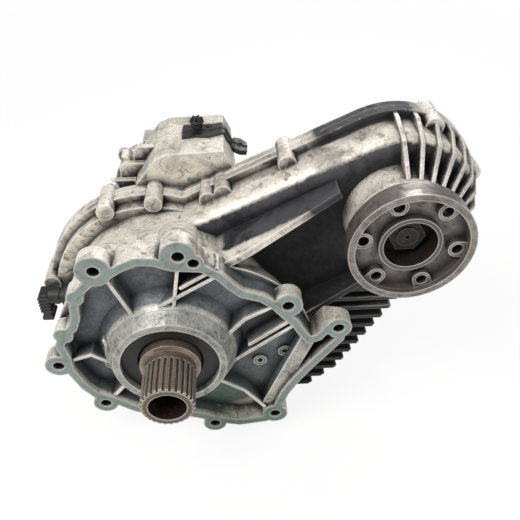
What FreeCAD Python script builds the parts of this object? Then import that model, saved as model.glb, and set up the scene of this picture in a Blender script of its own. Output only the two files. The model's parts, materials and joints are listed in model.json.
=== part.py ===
import FreeCAD, Part
import math
import os
import re

import Sketcher
from FreeCAD import Vector

# Two-speed chain-drive transfer case, built from its castings inwards.
# Frame: the input axis is Y, the gearbox stands on the -Y side, and Z is up.
# The origin is on the input axis in the plane of the gearbox mating face.

SIZES = {
    # chain drive: its pitch sets the distance between the two output axes
    "chainPitch": 9.525,
    "sprocketTeeth": 40,
    "chainLinks": 92,
    "axisTilt": 28.02,
    "chainWidth": 24,
    "chainSet": 26,
    "chainDepth": 5.2,
    "toothDepth": 3.6,
    "chainGap": 4,
    # castings
    "wallThick": 6,
    "rimWall": 8.4,
    "recessDepth": 19,
    "webThick": 7,
    "bellR": 109,
    "bellRearR": 105,
    "partingFace": 113,
    "lidCentreX": -17,
    "lidCentreZ": 6,
    "lidR": 105,
    "lidFront": 92,
    "partingLip": 8,
    "partingThick": 10,
    "housingFront": 62,
    "nearR": 88,
    "rearDepth": 35,
    "rearEndDepth": 19,
    "bossR": 54,
    "bossFront": 12.8,
    "bossFootR": 72,
    "neckFront": 30,
    "tailFootR": 78,
    "tailR": 60,
    "tailLength": 46,
    "extensionLength": 32,
    "sumpFront": 58,
    "sumpDepth": 49,
    "finPitch": 13,
    "finThick": 4.2,
    "floorDrop": 121.5,
    "earR": 12.5,
    "earHoleR": 5.5,
    "earThick": 16,
    "dowelHoleR": 5,
    # input shaft and planetary set
    "moduleSize": 1.75,
    "sunTeeth": 34,
    "planetTeeth": 12,
    "ringTeeth": 58,
    "gearGap": 10,
    "gearWidth": 22,
    "ringRimThick": 11.25,
    "splineTip": 61.5,
    "splineR": 24.8,
    "splineTeeth": 27,
    "splineDepth": 2.1,
    "splineLength": 38,
    "inputBoreR": 17.4,
    "pilotBoreR": 16.5,
    "plugDepth": 9,
    "sealLandR": 29,
    "inputSeatR": 30,
    "inputNeckR": 27.5,
    "inputBearingR": 47.5,
    "inputSealR": 47,
    "bearingWidth": 18,
    "inputBearingFront": 6,
    "sealWidth": 9,
    "plateThick": 4.5,
    "carrierR": 58,
    "pinR": 5,
    "noseR": 23.6,
    # shafts
    "pilotR": 12,
    "mainSplineR": 18,
    "mainSeatR": 22,
    "tailSeatR": 20,
    "flangeSeatR": 15,
    "outBearingR": 40,
    "outBearingFront": 44,
    "rearBearingSet": 12,
    "needleR": 21,
    # companion flanges
    "flangeR": 56.5,
    "flangeRimR": 50,
    "flangeRimDepth": 14,
    "seatRise": 7.9,
    "flangeThick": 8,
    "flangeFront": 4.3,
    "rearFlangeSet": 36,
    "flangeBolts": 6,
    "flangePcd": 86,
    "flangeHoleR": 5.1,
    "hubR": 28.3,
    "hubThick": 4.3,
    "nutSeatDepth": 30,
    "threadR": 10,
    "nutHeight": 10,
    "tailBolts": 6,
    "tailBoltR": 3.2,
    "tailBoltCircle": 57,
    # gear change
    "shiftX": -36,
    "shiftZ": 74,
    "shiftR": 6,
    "drumR": 10,
    "rangeTravel": 12,
    "modeTravel": 10,
    "selectorTurn": 60,
    "forkThick": 4.4,
    "rangeGrooveSet": 10,
    "modeGrooveSet": 7,
    "grooveWidth": 5,
    "grooveR": 29,
    "collarR": 34,
    # fasteners and clearances
    "caseBoltR": 4,
    "caseBoltHead": 6.5,
    "lugR": 8.8,
    "lugDepth": 24,
    "runGap": 0.05,
    "sideGap": 0.5,
    "openGap": 0.3,
    # places and radii that follow from the sizes above
    "chainFront": "=partingFace - chainSet",
    "lidBack": "=partingFace + rearDepth",
    "rearBearingFront": "=lidBack + rearBearingSet",
    "tailEnd": "=lidBack + tailLength",
    "extensionEnd": "=tailEnd + extensionLength",
    "rearFlangeFace": "=extensionEnd + rearFlangeSet",
    "sumpRear": "=partingFace + sumpDepth",
    "neckR": "=outBearingR + wallThick",
    "hubBoreR": "=hubR - hubThick",
    "gearFront": "=inputBearingFront + bearingWidth + gearGap",
    "ringRimR": "=moduleSize * ringTeeth / 2 + ringRimThick",
    "rangeGroove": "=gearFront + gearWidth + rangeGrooveSet",
    "modeGroove": "=chainFront + chainWidth + modeGrooveSet",
}

# Mating-face ears as (x, z, ear radius), clockwise from the upper left.
EARS = [
    (-56.2, 108.4, 16.0),
    (16.6, 121.1, 16.0),
    (111.8, 59.2, 13.5),
    (160.8, 27.8, 12.5),
    (102.3, -97.6, 13.0),
    (37.5, -109.5, 12.0),
    (-72.4, -66.7, 12.5),
    (-108.4, -7.4, 13.0),
]
DOWEL_LOBE = (29.1, 113.4, 9.5)
BLIND_LOBES = [(-96.0, 33.0, 9.0), (-77.0, 79.0, 8.0)]

# Middle of the mating rim, ear to ear in the same order.
RIM = [
    (-62, 96), (-52, 98), (-42, 106), (-34, 111), (-20, 117.5), (-5, 116.5), (10, 110),
    (36, 107.5), (50, 98), (60, 86), (70, 76), (88, 69.5), (99, 61), (109, 48), (119, 37),
    (126, 24), (134, 13), (143, 17), (151, 29), (164, 27), (163, 14), (151, -3), (137, -22),
    (123, -43), (112, -64), (104, -88), (92, -106), (64, -110), (42, -104), (28, -97),
    (14, -92), (-14, -88), (-42, -79), (-66, -61), (-80, -53), (-89, -40), (-94, -27),
    (-99, -14), (-99, 4), (-102, 20), (-96, 33), (-86, 42), (-81, 54), (-80, 68), (-74, 84),
]

# Parting-flange bolt lugs: angle round the big lid circle, distance along the
# two straight sides, and angle round the front output end.
LID_LUGS = [112, 87, 172, 208, 246, 287]
TOP_LUGS = [92, 108, 176, 232]
LOW_LUGS = [214]
END_LUGS = [67, 17, -42]
SUMP_LUGS = [(168, -50), (100, 19.5 - SIZES["floorDrop"])]

doc = FreeCAD.newDocument("transfer_case")
sheet = doc.addObject("Spreadsheet::Sheet", "Sizes")
for row, (alias, number) in enumerate(SIZES.items(), start=1):
    sheet.set("A%d" % row, alias)
    sheet.set("B%d" % row, str(number))
    sheet.setAlias("B%d" % row, alias)
doc.recompute()
nodes = []


def size(alias):
    """The sheet's number for one named size."""
    return float(sheet.get(alias))


def bind(text):
    """An expression on the sheet from one that names sizes by their alias alone."""
    return re.sub(r"[A-Za-z]\w*", lambda m: "Sizes." + m.group(0) if m.group(0) in SIZES else m.group(0), text)


def degrees(angle):
    return math.radians(angle)


centre_distance = size("chainPitch") * (size("chainLinks") - size("sprocketTeeth")) / 2
along = (math.cos(degrees(size("axisTilt"))), math.sin(degrees(size("axisTilt"))))
out_x = centre_distance * along[0]
out_z = centre_distance * along[1]
CENTRE = "chainPitch * (chainLinks - sprocketTeeth) / 2"
OUT_X = CENTRE + " * cos(axisTilt * 1 deg)"
OUT_Z = CENTRE + " * sin(axisTilt * 1 deg)"
chain_pitch_r = size("chainPitch") / (2 * math.sin(math.pi / size("sprocketTeeth")))
chain_outer_r = chain_pitch_r + size("chainDepth")
far_r = chain_outer_r + size("chainGap") + size("wallThick")


# ---------------------------------------------------------------- shapes along Y
def disc(x, z, radius, front, back):
    return Part.makeCylinder(radius, back - front, Vector(x, front, z), Vector(0, 1, 0))


def cone(x, z, front_r, back_r, front, back):
    return Part.makeCone(front_r, back_r, back - front, Vector(x, front, z), Vector(0, 1, 0))


def ring(x, z, outer, inner, front, back):
    return disc(x, z, outer, front, back).cut(disc(x, z, inner, front - 1, back + 1))


def prism(outline, front, back):
    """A closed wire or a face in the XZ plane, as a solid from front to back."""
    face = outline if isinstance(outline, Part.Face) else Part.Face(outline)
    face.translate(Vector(0, front, 0))
    return face.extrude(Vector(0, back - front, 0))


def loop(points):
    corners = [Vector(x, 0, z) for x, z in points]
    return Part.makePolygon(corners + corners[:1])


def grown(outline, offset):
    return Part.Face(outline).makeOffset2D(offset, 0)


def slab(start, end, width, front, back):
    """A straight wall of one width between two points, with round ends."""
    run = Vector(end[0] - start[0], 0, end[1] - start[1])
    side = Vector(run.z, 0, -run.x).normalize() * (width / 2)
    tip = run.normalize() * (width / 2)
    a = Vector(start[0], 0, start[1])
    b = Vector(end[0], 0, end[1])
    edges = [
        Part.LineSegment(a + side, b + side).toShape(),
        Part.Arc(b + side, b + tip, b - side).toShape(),
        Part.LineSegment(b - side, a - side).toShape(),
        Part.Arc(a - side, a - tip, a + side).toShape(),
    ]
    return prism(Part.Wire(edges), front, back)


def belt(near_r, end_r, near=(0, 0), end=None):
    """The outline of a belt pulled round two circles: two arcs and two tangents."""
    end = end or (out_x, out_z)
    run = math.atan2(end[1] - near[1], end[0] - near[0])
    reach = math.hypot(end[0] - near[0], end[1] - near[1])
    lean = math.acos((near_r - end_r) / reach)

    def on(centre, radius, angle):
        return Vector(centre[0] + radius * math.cos(angle), 0, centre[1] + radius * math.sin(angle))

    edges = [
        Part.Arc(on(near, near_r, run + lean), on(near, near_r, run + math.pi), on(near, near_r, run - lean)).toShape(),
        Part.LineSegment(on(near, near_r, run - lean), on(end, end_r, run - lean)).toShape(),
        Part.Arc(on(end, end_r, run - lean), on(end, end_r, run), on(end, end_r, run + lean)).toShape(),
        Part.LineSegment(on(end, end_r, run + lean), on(near, near_r, run + lean)).toShape(),
    ]
    return Part.Wire(edges)


def polar(radius, angle, centre=(0, 0)):
    return (centre[0] + radius * math.cos(degrees(angle)), centre[1] + radius * math.sin(degrees(angle)))


def beside(distance, offset):
    """A point by its distance along the line of centres and its offset above it."""
    return (distance * along[0] - offset * along[1], distance * along[1] + offset * along[0])


def fuse(parts):
    return parts[0].multiFuse(parts[1:]).removeSplitter()


def cast(label, shape):
    """A sub-part whose form comes from Part's own functions."""
    piece = doc.addObject("Part::Feature", label)
    piece.Label = label
    piece.Shape = shape
    nodes.append(piece)
    return piece


# ---------------------------------------------------------------- PartDesign helpers
def origin_plane(body, role):
    return next(f for f in body.Origin.OriginFeatures if f.Role == role)


def new_body(label, x="0", y="0", z="0"):
    body = doc.addObject("PartDesign::Body", label)
    body.Label = label
    for axis, text in (("x", x), ("y", y), ("z", z)):
        body.setExpression("Placement.Base." + axis, bind(text))
    nodes.append(body)
    return body


def new_sketch(body, role, name):
    sketch = body.newObject("Sketcher::SketchObject", body.Label + "_" + name)
    sketch.AttachmentSupport = (origin_plane(body, role), [""])
    sketch.MapMode = "FlatFace"
    return sketch


def pin_vertex(sketch, line, across, up):
    """Hold one line's start point by two distances from the sketch's origin."""
    for kind, text in (("DistanceX", across), ("DistanceY", up)):
        if text == "0":
            axis = -2 if kind == "DistanceX" else -1
            sketch.addConstraint(Sketcher.Constraint("PointOnObject", line, 1, axis))
            continue
        guess = sketch.getPoint(line, 1).x if kind == "DistanceX" else sketch.getPoint(line, 1).y
        index = sketch.addConstraint(Sketcher.Constraint(kind, -1, 1, line, 1, guess))
        sketch.setExpression("Constraints[%d]" % index, bind(text))


def draw_profile(sketch, points):
    """Closed straight-sided profile; every corner is tied to the sheet."""
    count = len(points)
    places = [Vector(30 + 9 * math.cos(2 * math.pi * i / count), 30 + 9 * math.sin(2 * math.pi * i / count), 0) for i in range(count)]
    for i in range(count):
        sketch.addGeometry(Part.LineSegment(places[i], places[(i + 1) % count]), False)
    for i in range(count):
        sketch.addConstraint(Sketcher.Constraint("Coincident", i, 2, (i + 1) % count, 1))
    for i, (across, up) in enumerate(points):
        pin_vertex(sketch, i, across, up)


def turn(label, points, x="0", y="0", z="0"):
    """A turned piece: (radius, depth from its front end) corners, revolved about Y."""
    body = new_body(label, x, y, z)
    sketch = new_sketch(body, "XY_Plane", "profile")
    draw_profile(sketch, points)
    lathe = body.newObject("PartDesign::Revolution", label + "_turning")
    lathe.Profile = sketch
    lathe.ReferenceAxis = (sketch, ["V_Axis"])
    lathe.Angle = 360
    return body


def notch_round(body, name, floor_r, open_r, floor_width, open_width, depth, count, start="0"):
    """Cut one straight-sided notch from the front face back and repeat it round the axis."""
    sketch = new_sketch(body, "XZ_Plane", name)
    if start != "0":
        sketch.setExpression("AttachmentOffset.Base.z", bind("-(" + start + ")"))
    corners = [Vector(20, -1, 0), Vector(30, -1.5, 0), Vector(30, 1.5, 0), Vector(20, 1, 0)]
    for i in range(4):
        sketch.addGeometry(Part.LineSegment(corners[i], corners[(i + 1) % 4]), False)
    for i in range(4):
        sketch.addConstraint(Sketcher.Constraint("Coincident", i, 2, (i + 1) % 4, 1))
    sketch.addConstraint(Sketcher.Constraint("Symmetric", 0, 1, 3, 1, -1))
    sketch.addConstraint(Sketcher.Constraint("Symmetric", 1, 1, 2, 1, -1))
    for line, across, width in ((0, floor_r, floor_width), (1, open_r, open_width)):
        index = sketch.addConstraint(Sketcher.Constraint("DistanceX", -1, 1, line, 1, corners[line].x))
        sketch.setExpression("Constraints[%d]" % index, bind(across))
        index = sketch.addConstraint(Sketcher.Constraint("DistanceY", line, 1, 3 - line, 1, -2 * corners[line].y))
        sketch.setExpression("Constraints[%d]" % index, bind(width))
    cut = body.newObject("PartDesign::Pocket", body.Label + "_" + name + "_cut")
    cut.Profile = sketch
    cut.setExpression("Length", bind(depth))
    around = body.newObject("PartDesign::PolarPattern", body.Label + "_" + name + "_row")
    around.Originals = [cut]
    around.Axis = (sketch, ["N_Axis"])
    around.Angle = 360
    around.setExpression("Occurrences", bind(count))
    body.Tip = around


def hole_ring(body, name, circle_r, hole_r, depth, count):
    """Drill one hole from the front face back and repeat it round the axis."""
    sketch = new_sketch(body, "XZ_Plane", name)
    sketch.addGeometry(Part.Circle(Vector(40, 0, 0), Vector(0, 0, 1), 3), False)
    sketch.addConstraint(Sketcher.Constraint("PointOnObject", 0, 3, -1))
    for kind, text in (("DistanceX", circle_r), ("Radius", hole_r)):
        if kind == "Radius":
            index = sketch.addConstraint(Sketcher.Constraint("Radius", 0, 3))
        else:
            index = sketch.addConstraint(Sketcher.Constraint("DistanceX", -1, 1, 0, 3, 40))
        sketch.setExpression("Constraints[%d]" % index, bind(text))
    cut = body.newObject("PartDesign::Pocket", body.Label + "_" + name + "_cut")
    cut.Profile = sketch
    cut.setExpression("Length", bind(depth))
    around = body.newObject("PartDesign::PolarPattern", body.Label + "_" + name + "_row")
    around.Originals = [cut]
    around.Axis = (sketch, ["N_Axis"])
    around.Angle = 360
    around.setExpression("Occurrences", bind(count))
    body.Tip = around


# ---------------------------------------------------------------- shared outlines
parting = size("partingFace")
lid_back = size("lidBack")
lip = size("partingLip")
wall = size("wallThick")
recess = size("recessDepth")
lid = (size("lidCentreX"), size("lidCentreZ"))
lug_line = size("lidR") + lip - 3


shift = (size("shiftX"), size("shiftZ"))
shift_angle = math.degrees(math.atan2(shift[1], shift[0]))
motor_lobes = [shift_angle - 90, shift_angle, shift_angle + 90]
motor_face = size("tailEnd") + 9
tail_angles = range(30, 390, 60)
DRAIN = (104, 33.5 - size("floorDrop"))
FILL = (168, -2)


def switch_stem(radius, inside):
    """The position switch screws into the bell's left flank, a little nose-up."""
    outward = Vector(-1, 0, 0.1).normalize()
    return Part.makeCylinder(radius, 30 + inside, Vector(-97, 74, 16) - outward * inside, outward)


def lug_places():
    """Where the parting-flange bolts stand, all round the joint."""
    places = [polar(lug_line, a, lid) for a in LID_LUGS]
    places += [beside(s, far_r + lip - 4 + (centre_distance - s) * 0.03) for s in TOP_LUGS[:3]]
    places += [beside(s, -far_r - lip + 2 - (centre_distance - s) * 0.03) for s in LOW_LUGS]
    places += [polar(far_r + lip - 5, a, (out_x, out_z)) for a in END_LUGS]
    return places + SUMP_LUGS


def head_pockets(front, back):
    """Straight access for a socket on every bolt head behind the joint."""
    return [disc(x, z, size("caseBoltHead") + 1.1, front, back) for x, z in lug_places()]


def flange_outline(front, back):
    return [
        prism(belt(size("nearR") + lip, far_r + lip), front, back),
        disc(lid[0], lid[1], size("lidR") + lip, front, back),
    ]


SUMP = [
    (48, -72), (70, -104), (128, -size("floorDrop")), (146, -size("floorDrop")),
    (176, -93), (231, 5), (246, 40), (150, 30), (60, -30),
]
SUMP_CAVITY = [(80, -76), (94, 35.5 - size("floorDrop")), (126, 27.5 - size("floorDrop")), (200, 10), (150, 24), (62, -16)]
SUMP_CORE = [(52, -60), (80, 15.5 - size("floorDrop")), (122, 2 - size("floorDrop")), (138, 5.5 - size("floorDrop")), (206, 10), (236, 44), (150, 36), (60, -20)]


def sump(front, back, core_front, core_back):
    """Finned oil sump: a smooth core with level cooling fins standing off it."""
    outer = prism(loop(SUMP), front, back)
    fins = []
    level = 2 - size("floorDrop")
    while level < 36:
        plate = Part.makeBox(240, back - front, size("finThick"), Vector(30, front, level - 2))
        fins.append(outer.common(plate))
        level += size("finPitch")
    return [prism(loop(SUMP_CORE), core_front, core_back)] + fins


def upright(points, thick, angle, centre):
    """A plate standing in a plane through an axis along Y: (radius, depth) corners."""
    corners = [Vector(r, y, -thick / 2) for r, y in points]
    plate = Part.Face(Part.makePolygon(corners + corners[:1])).extrude(Vector(0, 0, thick))
    plate.rotate(Vector(0, 0, 0), Vector(0, 1, 0), -angle)
    plate.translate(Vector(centre[0], 0, centre[1]))
    return plate


def rail(points, thick, offset):
    """A wall parallel to the line of centres: (distance, depth) corners at one offset."""
    corners = [Vector(beside(s, offset - thick / 2)[0], y, beside(s, offset - thick / 2)[1]) for s, y in points]
    face = Part.Face(Part.makePolygon(corners + corners[:1]))
    return face.extrude(Vector(-along[1] * thick, 0, along[0] * thick))


def gusset(x, z, r, share, back):
    """Tapered metal from an ear down on to the bell behind it."""
    rings = []
    for near, radius, depth in ((1, r - 0.8, size("earThick") / 4), (share, r * 1.25, back)):
        rings.append(Part.Wire(Part.makeCircle(radius, Vector(x * near, depth, z * near), Vector(0, 1, 0))))
    return Part.makeLoft(rings, True)


# ---------------------------------------------------------------- front case casting
WEB_PADS = [(112, -18), (87, -30), (61, -8), (-62, -25)]


def front_case():
    rim = loop(RIM)
    half = size("rimWall") / 2
    tub = prism(grown(rim, half), 0, recess + size("webThick"))
    tub = tub.cut(prism(grown(rim, -half), -1, recess))
    bell = cone(0, 0, size("bellR"), size("bellRearR"), recess + 1, parting)
    skirt = cone(34, -10, 106, 80, recess + 1, 78)
    shell = prism(belt(size("nearR"), far_r), size("housingFront"), parting)
    edges = [e for e in shell.Edges if max(v.Y for v in e.Vertexes) < size("housingFront") + 0.01]
    shell = shell.makeFillet(15, edges)
    parts = [tub, bell, skirt, shell]
    parts.append(disc(lid[0], lid[1], size("lidR"), size("lidFront"), parting))
    parts += flange_outline(parting - size("partingThick"), parting)
    parts += [disc(x, z, size("lugR"), parting - size("lugDepth"), parting) for x, z in lug_places()]
    parts += [disc(x, z, r, 0, size("earThick")) for x, z, r in EARS + [DOWEL_LOBE] + BLIND_LOBES]
    parts += [gusset(*EARS[0], 0.76, 56), gusset(*EARS[1], 0.80, 60), gusset(*DOWEL_LOBE, 0.84, 60), gusset(*EARS[7], 0.86, 40)]
    parts += [disc(x, z, 7, recess - 3, recess + 2) for x, z in WEB_PADS]
    parts.append(slab((133, 11), (97, -84), 15, 5, recess + 5))
    parts.append(cone(0, 0, size("bossR"), size("bossFootR"), -size("bossFront"), recess + 2))
    ribs = [
        [(-46, 93), (-26, 42)], [(15, 108), (6, 50)], [(53, 99), (-4, 63)], [(49, 105), (16, 84)],
        [(100, 58), (72, 42), (47, 13)], [(116, 30), (55, -18)], [(112, 36), (76, 8)],
        [(48, -44), (70, -60), (91, -88)], [(-95, -3), (-76, 3), (-55, -12)],
        [(-61, 22), (-55, -2)], [(-64, -60), (-46, -38)],
    ]
    for path in ribs:
        parts += [slab(a, b, 3.2, 2.5, recess + 2) for a, b in zip(path, path[1:])]
    # output neck, its cooling fins and the long ribs on the housing's front wall
    parts.append(cone(out_x, out_z, size("neckR"), size("neckR") + 6, size("neckFront"), size("housingFront") + 3))
    parts.append(disc(out_x, out_z, size("neckR") + 3.5, size("neckFront") + 5, size("neckFront") + 11))
    edge_r = far_r + lip - 1
    fin = [(30, 38), (50, 38), (62, 50), (74, 62), (edge_r, 90), (edge_r, parting - 5), (30, parting - 5)]
    for angle in range(-24, 100, 13):
        parts.append(upright(fin, 3.6, angle, (out_x, out_z)))
    parts.append(rail([(44, 12), (120, 20), (212, 42), (212, 70), (44, 70)], 7, 58))
    parts.append(rail([(122, 30), (200, 46), (200, 70), (122, 70)], 6, -48))
    parts += sump(size("sumpFront"), parting, size("sumpFront") + 10, parting)
    body = fuse(parts)
    # bores along the input axis, front to back
    hollow_front = size("chainFront") - 12
    bores = [
        disc(0, 0, size("inputSealR"), -20, size("inputBearingFront")),
        disc(0, 0, size("inputBearingR"), size("inputBearingFront") - 0.2, size("inputBearingFront") + size("bearingWidth") + 0.2),
        disc(0, 0, 40, size("inputBearingFront") + 4, size("gearFront") - 4),
        disc(0, 0, size("ringRimR"), size("gearFront") - 6.2, size("gearFront") + size("gearWidth") + 7),
        disc(0, 0, size("nearR") - wall, hollow_front, parting + 1),
    ]
    # the bell is cored out round the planetary tube
    core = ring(0, 0, size("bellR") - 2 * wall, size("ringRimR") + 7, recess + 12, 64)
    bores.append(core)
    bores.append(disc(0, 0, size("bellRearR") - wall, 62, parting + 1))
    bores.append(disc(lid[0], lid[1], size("lidR") - wall, size("lidFront") + wall, parting + 1))
    bores.append(prism(belt(size("nearR") - wall, far_r - wall), hollow_front, parting + 1))
    # output bearing, seal and nut space
    bores.append(disc(out_x, out_z, size("outBearingR"), size("outBearingFront"), size("outBearingFront") + size("bearingWidth") + 0.2))
    bores.append(disc(out_x, out_z, size("outBearingR") - 6, size("outBearingFront") + 16, hollow_front + 1))
    bores.append(disc(out_x, out_z, size("outBearingR") - 1, size("neckFront") - 1, size("outBearingFront") + 1))
    bores += [disc(x, z, size("earHoleR"), -1, size("earThick")) for x, z, r in EARS]
    bores += [disc(x, z, 3, recess - 4, recess + 1) for x, z in WEB_PADS]
    bores.append(disc(DOWEL_LOBE[0], DOWEL_LOBE[1], size("dowelHoleR"), -1, size("earThick") - 2))
    bores.append(slab((151, 17), (141, 1), 6, -1, 16))
    bores.append(switch_stem(9.05, 6))
    bores.append(prism(loop(SUMP_CAVITY), hollow_front, parting + 1))
    bores += [disc(x, z, size("caseBoltR") + 0.3, parting - size("lugDepth") + 3, parting + 1) for x, z in lug_places()]
    body = body.cut(bores[0].multiFuse(bores[1:]))
    # the shift shaft's front end runs in a boss on the web
    hold = disc(size("shiftX"), size("shiftZ"), 11, recess + 10, 42)
    body = body.fuse(hold).cut(disc(size("shiftX"), size("shiftZ"), size("shiftR") + 0.05, 31, 43))
    return body.removeSplitter()


# ---------------------------------------------------------------- rear case casting
def rear_case():
    end_back = parting + size("rearEndDepth")
    shell = prism(belt(size("nearR"), far_r), parting, end_back)
    edges = [e for e in shell.Edges if min(v.Y for v in e.Vertexes) > end_back - 0.01]
    shell = shell.makeFillet(10, edges)
    drum = disc(lid[0], lid[1], size("lidR"), parting, lid_back)
    drum = drum.makeFillet(12, [e for e in drum.Edges if len(e.Vertexes) == 1 and e.Vertexes[0].Y > lid_back - 0.01])
    parts = [shell, drum]
    parts += flange_outline(parting, parting + size("partingThick") - 1)
    parts += [disc(x, z, size("lugR"), parting, parting + 14) for x, z in lug_places()]
    parts.append(cone(0, 0, size("tailFootR"), size("tailR"), lid_back - 6, size("tailEnd")))
    parts.append(disc(out_x, out_z, 36, end_back - 4, end_back + 22))
    for angle in range(15, 360, 45):
        web = [(30, lid_back - 8), (96, lid_back - 8), (96, lid_back + 4), (62, size("tailEnd") - 6), (30, size("tailEnd") - 6)]
        parts.append(upright(web, 6, angle, (0, 0)))
    for angle in range(-60, 121, 30):
        web = [(20, end_back - 6), (68, end_back - 6), (36, end_back + 18), (20, end_back + 18)]
        parts.append(upright(web, 5, angle, (out_x, out_z)))
    # raised gear-change housing above the joint, with its stiffening ribs
    hump = prism(loop([(-40, 80), (-30, 120), (-10, 146), (2, 152), (58, 154), (66, 138), (70, 96), (20, 60)]), parting + 7, 200)
    parts.append(hump)
    for x, top in ((-62, 112), (-48, 126), (-34, 140)):
        rib = loop([(x, 70), (x, top), (x + 5, top + 4), (x + 30, top + 4), (x + 30, 70)])
        parts.append(prism(rib, parting + 22 + (x + 62) * 0.6, parting + 28 + (x + 62) * 0.6))
    parts.append(disc(*shift, 26, lid_back - 6, motor_face))
    parts += [slab(shift, polar(36, a, shift), 15, motor_face - 16, motor_face) for a in motor_lobes]
    parts += [disc(x, z, 13, size("sumpRear") - 18, size("sumpRear")) for x, z in (DRAIN, FILL)]
    parts += sump(parting, size("sumpRear"), parting, size("sumpRear") - 10)
    parts.append(slab((-46, -50), (-46, -size("floorDrop") + 12), 24, 150, 176))
    body = fuse(parts)
    bores = [
        disc(lid[0], lid[1], size("lidR") - wall, parting - 1, lid_back - wall),
        prism(belt(size("nearR") - wall, far_r - wall), parting - 1, end_back - wall),
        prism(loop(SUMP_CAVITY), parting - 1, size("sumpRear") - 18),
        disc(0, 0, 50, lid_back - wall - 1, lid_back + 4),
        disc(0, 0, 34, lid_back, size("tailEnd") + 1),
        disc(0, 0, size("outBearingR"), size("rearBearingFront"), size("tailEnd") + 1),
        disc(out_x, out_z, size("needleR"), parting, end_back + 16),
        disc(*shift, size("shiftR") + 0.05, parting, motor_face + 1),
        disc(0, 0, size("tailR") + 4.3, size("tailEnd"), motor_face + 1),
    ]
    bores += [disc(*polar(36, a, shift), 3.2, motor_face - 8, motor_face + 1) for a in motor_lobes]
    bores += [disc(x, z, 7.1, size("sumpRear") - 12.5, size("sumpRear") + 1) for x, z in (DRAIN, FILL)]
    bores += [disc(*polar(size("tailBoltCircle"), a), size("tailBoltR") + 0.1, size("tailEnd") - 11, size("tailEnd") + 1) for a in tail_angles]
    bores += head_pockets(parting + 14, motor_face + 1)
    bores += [disc(x, z, size("caseBoltR") + 0.3, parting - 1, parting + 15) for x, z in lug_places()]
    return body.cut(bores[0].multiFuse(bores[1:])).removeSplitter()


cast("front_case", front_case())
cast("rear_case", rear_case())


# ---------------------------------------------------------------- rear extension
extension = turn("extension_housing", [
    ("outBearingR - 6", "0"), ("tailR + 4", "0"), ("tailR + 4", "8"), ("hubR + 22.5", "8"),
    ("hubR + 20", "extensionEnd - tailEnd"), ("hubR + 13", "extensionEnd - tailEnd"),
    ("hubR + 13", "extensionEnd - tailEnd - sealWidth - 1"), ("hubR + 7", "extensionEnd - tailEnd - sealWidth - 1"),
    ("hubR + 7", "4"), ("outBearingR - 6", "4"),
], "0", "tailEnd", "0")
hole_ring(extension, "bolt_holes", "tailBoltCircle", "tailBoltR + 0.3", "9", "tailBolts")
extension.Placement = FreeCAD.Placement(extension.Placement.Base, FreeCAD.Rotation(Vector(0, 1, 0), 30))


# ---------------------------------------------------------------- bearings and seals
def bearing(label, inner, outer, x, front, z):
    """Outer race with its shield; the shaft's own race turns inside it."""
    middle = "((" + inner + ") + (" + outer + ")) / 2"
    turn(label, [
        (middle + " + 0.6", "0.8"), (outer, "0"), (outer, "bearingWidth"), (middle + " + 0.6", "bearingWidth - 0.8"),
    ], x, front, z)
    turn(label + "_race", [
        (inner, "0"), (middle + " - 0.6", "0.8"), (middle + " - 0.6", "bearingWidth - 0.8"), (inner, "bearingWidth"),
    ], x, front, z)


def lip_seal(label, inner, outer, x, front, z):
    """Oil seal: pressed case outside, a lip running just off its land."""
    turn(label, [
        (inner + " + 0.05", "sealWidth * 0.55"), (inner + " + 0.05", "sealWidth * 0.45"), (inner + " + 2.5", "0"),
        (outer, "0"), (outer, "sealWidth"), (outer + " - 2", "sealWidth"), (outer + " - 2", "2"), (inner + " + 3", "2"),
    ], x, front, z)


bearing("input_bearing", "inputSeatR", "inputBearingR", "0", "inputBearingFront", "0")
bearing("front_output_bearing", "tailSeatR", "outBearingR", OUT_X, "outBearingFront", OUT_Z)
bearing("rear_bearing", "tailSeatR", "outBearingR", "0", "rearBearingFront", "0")
lip_seal("input_seal", "sealLandR", "inputSealR", "0", "-6.5", "0")
lip_seal("front_output_seal", "hubR", "outBearingR - 1", OUT_X, "neckFront + 1", OUT_Z)
lip_seal("rear_seal", "hubR", "hubR + 13", "0", "extensionEnd - sealWidth - 0.5", "0")
turn("front_output_rear_bearing", [
    ("flangeSeatR + 0.05", "0"), ("needleR", "0"), ("needleR", "18"), ("flangeSeatR + 0.05", "18"),
], OUT_X, "partingFace + rearEndDepth - 4", OUT_Z)

# ---------------------------------------------------------------- input shaft with its sun gear
SUN_R = "moduleSize * sunTeeth / 2"
PLANET_R = "moduleSize * planetTeeth / 2"
RING_R = "moduleSize * ringTeeth / 2"
TIP = "moduleSize * 0.8"
ROOT = "moduleSize * 1.1"
GAP = "(moduleSize * 3.1416 / 2 + 0.35)"
shaft = turn("input_shaft", [
    ("inputBoreR", "0"), ("splineR - 1.5", "0"), ("splineR", "1.5"), ("splineR", "splineTip - 16"),
    ("sealLandR", "splineTip - 14"), ("sealLandR", "splineTip + inputBearingFront - 1"),
    ("inputSeatR", "splineTip + inputBearingFront - 1"),
    ("inputSeatR", "splineTip + inputBearingFront + bearingWidth"),
    ("inputNeckR", "splineTip + inputBearingFront + bearingWidth"), ("inputNeckR", "splineTip + gearFront"),
    (SUN_R + " + " + TIP, "splineTip + gearFront"), (SUN_R + " + " + TIP, "splineTip + gearFront + gearWidth"),
    ("noseR + 0.4", "splineTip + gearFront + gearWidth"), ("noseR + 0.4", "splineTip + gearFront + 9"),
    ("pilotBoreR", "splineTip + gearFront + 9"), ("pilotBoreR", "splineTip + plugDepth"),
    ("inputBoreR", "splineTip + plugDepth"),
], "0", "-splineTip", "0")
notch_round(shaft, "spline", "splineR - splineDepth", "splineR + 1", "splineR * 3.1416 / splineTeeth * 0.8",
            "splineR * 3.1416 / splineTeeth * 1.25", "splineLength", "splineTeeth")
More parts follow.
